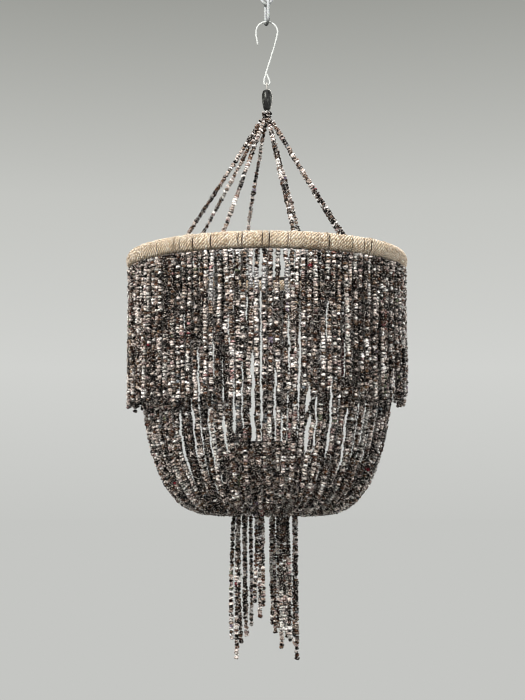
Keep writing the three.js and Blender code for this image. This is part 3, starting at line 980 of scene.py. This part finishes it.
stay_count = 4
stay_wander = 0.8 * mm
suspension_free = 2 * mm  # the thread that shows between the apex and the first bead
apex_core = 2.6 * mm
apex_bead = 5 * mm
apex_rows = (  # share of the height, share of the width, beads and their width
    (0.56, 0.94, 7, apex_bead),
    (0.34, 0.62, 5, bead_width),
    (0.12, 0.68, 6, bead_width),
    (-0.12, 0.78, 7, bead_width),
    (-0.36, 0.72, 6, bead_width),
)
apex_turn = 5  # radians that the rows turn over the apex's height
apex_spread = 0.2  # of the room between two beads, by which one strays in its row
apex_lean = 0.5
apex_pitch_share = 0.55


def spoke_azimuth(number):
    return first_spoke + number * full / strand_count


def straight_strand(start, end, dice, wander):
    steps = 60
    along = np.linspace(0, 1, steps)[:, None]
    path = start + (end - start) * along
    fade = np.sin(along[:, 0] * math.pi)
    aside = unit(np.cross(end - start, [0.0, 0.0, 1.0]))
    other = unit(np.cross(end - start, aside))
    path = path + (fade * drift(steps, dice, wander))[:, None] * aside
    path = path + (fade * drift(steps, dice, wander))[:, None] * other
    return path


def add_suspension():
    top = apex_width / 2 + clearance + thread_width / 2
    for number in range(strand_count):
        dice = np.random.default_rng(500 + number)
        azimuth = spoke_azimuth(number)
        start = polar(top, azimuth, apex_middle)
        end = polar(inner_hoop_radius, azimuth, hoop_height + inner_hoop_rod / 2)
        path = straight_strand(start, end, dice, strand_wander)
        beads = string_beads(path, dice, dark_shares, free=suspension_free)
        name = f"suspension_beads_{number + 1}"
        add_beads(name, [beads, thread(path)], "lamp", f"suspension_strand_{number + 1}")


def add_apex():
    dice = np.random.default_rng(21)
    ends = np.array(
        [[0, 0, apex_middle + apex_height / 2], [0, 0, apex_middle - apex_height / 2]]
    )
    core = points_at(ends, np.linspace(0, apex_height, 9))
    parts = [plain(tube(core, apex_core, 10), thread_tint)]
    for rise, reach, count, width in apex_rows:
        for place in range(count):
            stray = dice.uniform(-apex_spread, apex_spread)
            azimuth = (place + stray) / count * full + rise * apex_turn
            centre = polar(reach * apex_width / 2, azimuth, apex_middle + rise * apex_height)
            lean = unit(np.array([*dice.normal(0, apex_lean, 2), 1.0]))
            half = lean * bead_pitch * apex_pitch_share
            short = np.array([centre - half, centre + half])
            parts.append(string_beads(short, dice, apex_shares, width))
    shade = (apex_share, apex_share, apex_share, 1)
    parts = [(points, faces, tint * shade) for points, faces, tint in parts]
    add_beads("apex_beads", parts, "lamp", "apex_knot")


def add_stays():
    for number in range(stay_count):
        dice = np.random.default_rng(600 + number)
        azimuth = number * full / stay_count
        above = polar(inner_hoop_radius, azimuth, hoop_height - inner_hoop_rod / 2)
        below = polar(ring_radius, azimuth, ring_height + ring_rod / 2)
        path = straight_strand(above, below, dice, stay_wander)
        parts = [string_beads(path, dice, bowl_shares), thread(path)]
        add_beads(f"stay_beads_{number + 1}", parts, "lamp", f"stay_strand_{number + 1}")


# Tassels

tassel_wander = 0.8 * mm
tassel_free = 4 * mm  # the thread that shows between the knot and the first bead
tassel_gather_share = 0.2  # by here, down its length, a tassel's strands are drawn together
tassel_turn_share = 0.25  # the part below it over which they turn and lean


def add_tassels():
    for number, shares in enumerate(tassel_length_shares):
        dice = np.random.default_rng(700 + number)
        azimuth = first_tassel + number * full / len(tassel_length_shares)
        out = polar(1, azimuth, 0)
        parts = []
        for strand, share in enumerate(shares):
            steps = 90
            along = np.linspace(0, 1, steps)
            below = np.clip((along - tassel_gather_share) / tassel_turn_share, 0, 1)
            gathered = np.clip(along / tassel_gather_share, 0, 1)
            drawn = 1 - (1 - tassel_drawn_share) * gathered
            offset = (strand - (len(shares) - 1) / 2) * tassel_pitch * drawn
            row = azimuth + math.pi / 2 + below * math.radians(tassel_turns[number])
            row = np.stack([np.cos(row), np.sin(row), 0 * row], axis=1)
            length = tassel_length * share
            height = ring_height + heading_height / 2 - along * length
            path = (
                out * (tassel_radius + drift(steps, dice, tassel_wander))[:, None]
                + row * (offset + drift(steps, dice, strand_wander, 5))[:, None]
            )
            path[:, 0] += tassel_leans[number] * below
            path[:, 2] = height
            parts.append(string_beads(path, dice, tassel_shares, free=tassel_free))
            parts.append(thread(path[:-3]))
        name = f"tassel_beads_{number + 1}"
        add_beads(name, parts, f"tassel_bunch_{number + 1}", f"tassel_{number + 1}")


# Wound hoop: turns of twisted straw cord, a little irregular, that part round the spokes

winding_room = 0.08 * mm  # between the winding and the middle of a spoke
winding_pitch_share = (0.95, 1.06)
winding_gap = (1.2, 2.4)  # mm
winding_gap_every = (2, 20)  # turns
loose_share = 0.06  # of the turns, each standing proud by loose_rise
loose_rise = (0.5, 1.1)  # mm
turn_slack = 0.3 * mm
turn_drift = 0.35  # radians by which the twist strays from one turn to the next
turn_shade = 0.14
ply_depth = 0.34
# Painted shade in the grooves of the twisted cord, painted light on its ridges
painted_groove_shade = 0.16
painted_ridge_light = 1.5
straw_tones = (1, 0.98, 0.95)
spoke_reach = 18 * mm
spoke_room = 0.2 * mm
turn_steps = 60
outside_share = 0.75  # of a turn that starts on top, where it passes the hoop's outside
inward_power = 1.5  # how closely the parting round a spoke keeps to the hoop's inside
straw_sides = 8


def winding_places(dice, start, end):
    """Azimuths of the turns of one length of winding."""
    first = start + straw_cord / 2 / hoop_radius
    last = end - straw_cord / 2 / hoop_radius
    places = [first]
    until_gap = dice.integers(*winding_gap_every)
    while places[-1] < last:
        step = straw_pitch * dice.uniform(*winding_pitch_share)
        until_gap -= 1
        if until_gap == 0:
            step += dice.uniform(*winding_gap) * mm
            until_gap = dice.integers(*winding_gap_every)
        places.append(places[-1] + step / hoop_radius)
    places = np.array(places)
    return first + (places - first) * (last - first) / (places[-1] - first)


def parted(azimuth, spoke, inward):
    """Azimuths of a cord that is pushed aside by a spoke on the inside of the hoop."""
    away = (azimuth - spoke) * hoop_radius
    room = spoke_rod / 2 + straw_cord / 2 + spoke_room
    near = np.abs(away) < spoke_reach
    pushed = np.sign(away) * (room + np.abs(away) * (spoke_reach - room) / spoke_reach)
    return np.where(near, azimuth + inward * (pushed - away) / hoop_radius, azimuth)


def add_winding():
    radius = straw_cord / 2
    for number in range(strand_count):
        dice = np.random.default_rng(900 + number)
        spokes = (spoke_azimuth(number), spoke_azimuth(number + 1))
        room = winding_room / hoop_radius
        places = winding_places(dice, spokes[0] + room, spokes[1] - room)
        turns = len(places)
        total = turns * turn_steps
        count = np.arange(total) / turn_steps
        azimuth = np.interp(count - outside_share, np.arange(turns), places)
        around = full * count + math.pi / 2
        loose = (dice.random(turns) < loose_share) * dice.uniform(*loose_rise, turns) * mm
        slack = dice.normal(0, turn_slack, turns) + loose
        slack = np.interp(count, np.arange(turns), slack)
        inward = np.clip(-np.cos(around), 0, 1) ** inward_power
        for spoke in spokes:
            azimuth = parted(azimuth, spoke, inward)
        depth = binding_half_depth - radius + slack
        rise = binding_half_height - radius + slack
        path = polar(
            hoop_radius + depth * np.cos(around), azimuth, hoop_height + rise * np.sin(around)
        )
        uneven = np.cumsum(dice.normal(0, turn_drift, turns))
        twist = straw_twists * full * count + np.interp(count, np.arange(turns), uneven)
        points, faces = tube(path, radius, straw_sides, plies=2, depth=ply_depth, turn=twist)
        shade = np.interp(count, np.arange(turns), dice.normal(1, turn_shade, turns))
        corner = np.arange(straw_sides) / straw_sides * full
        # Painted shade in each ply's groove and painted light on its ridge
        raised = 0.5 + 0.5 * np.cos(2 * (corner[None, :] - twist[:, None]))
        shade = (shade[:, None] * (painted_groove_shade + painted_ridge_light * raised)).ravel()
        tint = np.stack([shade * tone for tone in straw_tones] + [np.ones(len(shade))], axis=1)
        add_piece(
            f"straw_winding_{number + 1}",
            points,
            faces,
            straw_finish,
            "lamp",
            [f"hoop_binding_{number + 1}"],
            np.clip(tint, 0, painted_ridge_light),
        )


# Rods

binding_wall = 2.5 * mm
spoke_socket = 4 * mm
weld_reach = (2 * mm, 6 * mm)
weld_width = (3.4 * mm, 2.1 * mm)
ring_weld_place = 20  # of the ring's steps
ring_weld_width = 2.0  # steps
ring_weld_share = 0.1


def circle(radius, height, steps):
    return polar(radius, np.arange(steps) / steps * full, height)


def add_rods():
    parts = [plain(tube(circle(inner_hoop_radius, hoop_height, 160), inner_hoop_rod / 2, 14, True))]
    spoke_end = hoop_radius - binding_half_depth + binding_wall + spoke_socket
    for number in range(strand_count):
        azimuth = spoke_azimuth(number)
        line = polar(np.linspace(inner_hoop_radius, spoke_end, 12), azimuth, hoop_height)
        parts.append(plain(tube(line, spoke_rod / 2, 12)))
        out = np.linspace(*(inner_hoop_radius + reach for reach in weld_reach), 6)
        weld = polar(out, azimuth, hoop_height)
        parts.append(plain(tube(weld, np.linspace(*weld_width, 6), 12)))
    points, faces, _ = joined(parts)
    add_piece("inner_hoop_rod", points, faces, rod_finish, "lamp", ["inner_hoop"])
    steps = 96
    away = (np.arange(steps) - ring_weld_place) / ring_weld_width
    swell = ring_rod / 2 * (1 + ring_weld_share * np.exp(-(away**2)))
    points, faces = tube(circle(ring_radius, ring_height, steps), swell, 14, True)
    add_piece("small_ring_rod", points, faces, rod_finish, "lamp", ["small_ring"])


# Chain links, hook, cord and barrel bead

link_weld_share = 0.09
link_weld_width = 2.2 * mm
side_thread = 1.5 * mm
knot_coil = 1.25 * mm
knot_lobes = 3
knot_rise_share = 0.85
groove_depth = 0.12 * mm
groove_fade = 2 * mm
groove_counts = (11, 17)  # the wood's grooves round the barrel bead, in two sets
groove_share = 0.6  # the second set's depth
groove_slant = 160  # radians a metre by which the second set winds


def add_links():
    straight = link_half - link_bend
    for name, height, turn, body in (
        ("upper_chain_link", upper_link, 0.0, "ceiling_link"),
        ("lower_chain_link", lower_link, math.pi / 2 + link_turn, "hanging_link"),
    ):
        bend = np.linspace(0, math.pi, 19)
        side = np.linspace(straight, -straight, 9)[1:-1]
        flat = np.concatenate(
            [
                np.stack([link_bend * np.cos(bend), straight + link_bend * np.sin(bend)], 1),
                np.stack([np.full(len(side), -link_bend), side], 1),
                np.stack([-link_bend * np.cos(bend), -straight - link_bend * np.sin(bend)], 1),
                np.stack([np.full(len(side), link_bend), -side], 1),
            ]
        )
        path = np.stack(
            [flat[:, 0] * math.cos(turn), flat[:, 0] * math.sin(turn), flat[:, 1] + height], 1
        )
        away = np.hypot(flat[:, 0] + link_bend, flat[:, 1]) / link_weld_width
        radius = link_wire / 2 * (1 + link_weld_share * np.exp(-(away**2)))
        points, faces = tube(path, radius, 18, True)
        add_piece(f"{name}_wire", points, faces, zinc_finish, body, [name])


def add_hook():
    bend_centre = hook_top - hook_bend
    eye_centre = eye_wire + hook_eye
    steps = np.linspace(0, 1, 9)
    bend = hook_mouth * (1 - steps)
    eye = math.pi * (1 + steps)
    flat = np.concatenate(
        [
            [[hook_tail_inset - hook_bend, bend_centre - hook_tail_drop]],
            np.stack([hook_bend * np.cos(bend), bend_centre + hook_bend * np.sin(bend)], 1),
            np.stack([hook_eye * np.cos(eye), eye_centre + hook_eye * np.sin(eye)], 1),
            [[hook_tip_gap - hook_eye, eye_centre + hook_tip_rise]],
        ]
    )
    route = np.stack([flat[:, 0], np.zeros(len(flat)), flat[:, 1]], 1)
    path = smooth_through(route, 10)
    points, faces = tube(path, hook_wire / 2, 16, round_ends=True)
    add_piece("hook_wire", points, faces, wire_finish, "hook", ["s_hook"])


def hanger_loop(stem_top):
    """The loop that hangs on the hook's eye."""
    reach = hook_wire / 2 + clearance + cord_wire / 2
    neck = (cord_stem - cord_wire) / 2
    route = [
        [0, reach * math.cos(angle), eye_wire + reach * math.sin(angle)]
        for angle in np.linspace(0, math.pi, 9)
    ]
    route += [[0, -neck, stem_top], [0, neck, stem_top]]
    path = smooth_through(route, 14, True)
    return tube(path, cord_wire / 2, 14, True, plies=3, lay=6.2 * mm, depth=0.09)


def hanger_stem(stem_top):
    """The doubled cord inside the barrel bead."""
    ends = np.array([[0, 0, stem_top], [0, 0, knot_height]])
    path = points_at(ends, np.linspace(0, lengths_along(ends)[-1], 60))
    return tube(path, cord_stem / 2, 14, plies=2, lay=9 * mm, depth=0.12)


def hanger_knot():
    """A knot of three lobes, under the barrel bead."""
    turn = np.linspace(0, full, 90, endpoint=False)
    reach = cord_knot / 2 - knot_coil
    out = reach * (0.62 + 0.38 * np.cos(knot_lobes * turn))
    rise = knot_rise_share * reach * np.sin(knot_lobes * turn)
    path = polar(out, 2 * turn, knot_height + rise)
    return tube(path, knot_coil, 10, True, plies=3, lay=5 * mm, depth=0.08)


def add_hanger():
    stem_top = barrel_top + cord_wire / 2
    parts = [plain(part) for part in (hanger_loop(stem_top), hanger_stem(stem_top), hanger_knot())]
    points, faces, _ = joined(parts)
    add_piece(
        "hanger_cord_twist", points, faces, cord_finish, "hanger", ["hanger_cord"]
    )


def add_side_thread():
    """A thin thread that runs down outside the barrel bead, from the loop to the knot."""
    side = barrel_width / 2
    route = [
        [0.4 * mm, 0.5 * mm, barrel_top + 3.4 * mm],
        [2.6 * mm, 0.3 * mm, barrel_top + 1.6 * mm],
        [5.6 * mm, 0, barrel_top - 1.0 * mm],
        [side + 0.7 * mm, 0, barrel_top - 0.3 * barrel_length],
        [side + 0.9 * mm, 0, barrel_top - 0.5 * barrel_length],
        [side - 0.4 * mm, 0, barrel_top - 0.74 * barrel_length],
        [5.4 * mm, 0, barrel_top - 0.95 * barrel_length],
        [2.4 * mm, 0, knot_height + 1.2 * mm],
        [1.0 * mm, 0, knot_height],
    ]
    points, faces = tube(smooth_through(route, 8), side_thread / 2, 8, round_ends=True)
    add_piece("hanger_side_thread", points, faces, cord_finish, "hanger", ())


def add_barrel():
    half = barrel_length / 2
    outline = [
        (barrel_bore / 2, -half + 0.9 * mm),
        (barrel_bore / 2 + 0.5 * mm, -half + 0.2 * mm),
        (barrel_neck / 2 - 1.5 * mm, -half),
        (barrel_neck / 2 - 0.5 * mm, -half + 0.5 * mm),
        (barrel_neck / 2 + 0.1 * mm, -half + 1.6 * mm),
        (barrel_neck / 2 + 0.9 * mm, -half + 4.6 * mm),
        (barrel_width / 2 - 1.1 * mm, -half * 0.42),
        (barrel_width / 2 - 0.25 * mm, -half * 0.12),
        (barrel_width / 2, half * 0.2),
        (barrel_width / 2 - 0.15 * mm, half * 0.5),
        (barrel_width / 2 - 0.9 * mm, half * 0.74),
        (barrel_neck / 2 + 1.1 * mm, half * 0.9),
        (barrel_neck / 2 - 0.2 * mm, half * 0.98),
        (barrel_neck / 2 - 1.5 * mm, half),
        (barrel_bore / 2 + 0.5 * mm, half - 0.2 * mm),
        (barrel_bore / 2, half - 0.9 * mm),
    ]
    fine = smooth_through([(radius, 0, height) for radius, height in outline], 3)[:, (0, 2)]
    points, faces = lathe(fine, 56)
    azimuth = np.arctan2(points[:, 1], points[:, 0])
    out = np.hypot(points[:, 0], points[:, 1]) - barrel_neck / 2
    outer = np.clip(out / groove_fade, 0, 1)
    straight, slanted = groove_counts
    wave = np.cos(straight * azimuth + 2.0)
    wave = wave + groove_share * np.cos(slanted * azimuth + groove_slant * points[:, 2])
    groove = groove_depth * wave
    points[:, 0] += outer * groove * np.cos(azimuth)
    points[:, 1] += outer * groove * np.sin(azimuth)
    points[:, 2] += barrel_top - half
    add_piece("barrel_bead_wood", points, faces, barrel_finish, "bead", ["barrel_bead"])


add_links()
add_hook()
add_hanger()
add_side_thread()
add_barrel()
add_apex()
add_suspension()
add_winding()
add_rods()
add_fringe()
add_bowl()
add_stays()
add_tassels()

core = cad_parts["hoop_core"]
core.data.materials.clear()
core.data.materials.append(cane_finish)


# Stage, light and camera

scene = bpy.context.scene
scene.view_settings.view_transform = "Standard"
scene.cycles.filter_width = 1.0
backdrop = rgba("c5c6c3")
backdrop_light = rgba("d1d2cf")
backdrop_shaded = rgba("c4c5c1")
backdrop_dark = rgba("999a95")
floor_height = -2.2
floor_reach = 40.0
floor_fade = (2.6, 4.6)  # the distance over which the floor passes into the backdrop
sky_rise = (-0.04, 0.37)  # the rise of the view over which the backdrop is graded


def seen(finish):
    """1 where a picture, a mirror or glass shows the backdrop."""
    names = ("Is Camera Ray", "Is Glossy Ray", "Is Transmission Ray")
    rays = [finish.node("ShaderNodeLightPath", output=name) for name in names]
    return rays[0].maths("MAXIMUM", rays[0].maths("MAXIMUM", rays[0], rays[1]), rays[2])


def make_floor():
    rim = circle(floor_reach, floor_height, 64)
    mesh = bpy.data.meshes.new("floor")
    mesh.from_pydata([tuple(point) for point in rim], [], [tuple(range(len(rim)))])
    floor = bpy.data.objects.new("floor", mesh)
    scene.collection.objects.link(floor)
    finish = Finish("pale_floor")
    where = finish.node("ShaderNodeTexCoord", output="Object")
    far = finish.node("ShaderNodeVectorMath", {"operation": "LENGTH"}, {0: where}, "Value")
    near_end, far_end = floor_fade
    share = finish.node(
        "ShaderNodeMapRange",
        {"interpolation_type": "SMOOTHSTEP"},
        {0: far, 1: near_end, 2: far_end},
    )
    lit = finish.node("ShaderNodeBsdfDiffuse", sockets={"Color": rgba("c9cac6")})
    even = finish.node("ShaderNodeEmission", sockets={"Color": backdrop, "Strength": 1.0})
    shader = finish.node("ShaderNodeMixShader", sockets={0: share * seen(finish), 1: lit, 2: even})
    finish.show(shader)
    mesh.materials.append(finish.material)


def make_world():
    world = bpy.data.worlds.new("studio")
    scene.world = world
    finish = Finish("studio", world)
    where = finish.node("ShaderNodeTexCoord", output="Generated")
    rise = finish.node("ShaderNodeSeparateXYZ", sockets={"Vector": where}, output="Z")
    low, high = sky_rise
    share = finish.node("ShaderNodeMapRange", sockets={0: rise, 1: low, 2: high})
    graded = finish.ramp(
        share, (0, backdrop), (0.3, backdrop_light), (0.62, backdrop_shaded), (1, backdrop_dark)
    )
    plain_sky = finish.node("ShaderNodeBackground", sockets={"Color": graded, "Strength": 1.0})
    soft = finish.node(
        "ShaderNodeBackground", sockets={"Color": (0.95, 0.97, 1.0, 1), "Strength": 0.14}
    )
    shader = finish.node("ShaderNodeMixShader", sockets={0: seen(finish), 1: soft, 2: plain_sky})
    finish.show(shader, "ShaderNodeOutputWorld")


def add_lamp(name, place, target, size, power, colour):
    light = bpy.data.lights.new(name, "AREA")
    light.shape = "RECTANGLE"
    light.size, light.size_y = size
    light.energy = power
    light.color = colour
    lamp = bpy.data.objects.new(name, light)
    lamp.location = place
    aim = Vector(target) - Vector(place)
    lamp.rotation_euler = aim.to_track_quat("-Z", "Y").to_euler()
    scene.collection.objects.link(lamp)


def add_camera():
    camera = bpy.data.cameras.new("camera")
    camera.sensor_width = sensor_width
    camera.lens = focal_pixels / picture_height * sensor_width
    camera.clip_end = 200
    holder = bpy.data.objects.new("camera", camera)
    holder.location = (view_aside, -view_distance, view_height)
    aim = Vector((0, math.cos(view_tilt), math.sin(view_tilt)))
    holder.rotation_euler = aim.to_track_quat("-Z", "Y").to_euler()
    scene.collection.objects.link(holder)
    scene.camera = holder


make_floor()
make_world()
shade_middle = (0, 0, -0.6)
add_lamp("key", (-1.1, -1.9, 0.9), shade_middle, (0.6, 0.6), 60, (1, 0.985, 0.965))
add_lamp("fill", (1.6, -1.7, 0.2), shade_middle, (0.6, 0.8), 21, (0.98, 0.99, 1))
add_lamp("back", (0.6, 2.0, 0.6), shade_middle, (1.6, 1.0), 24, (1, 1, 1))
add_lamp("top", (0.0, 0.1, 1.6), (0, 0, -0.4), (1.2, 1.2), 28, (1, 1, 1))
add_camera()
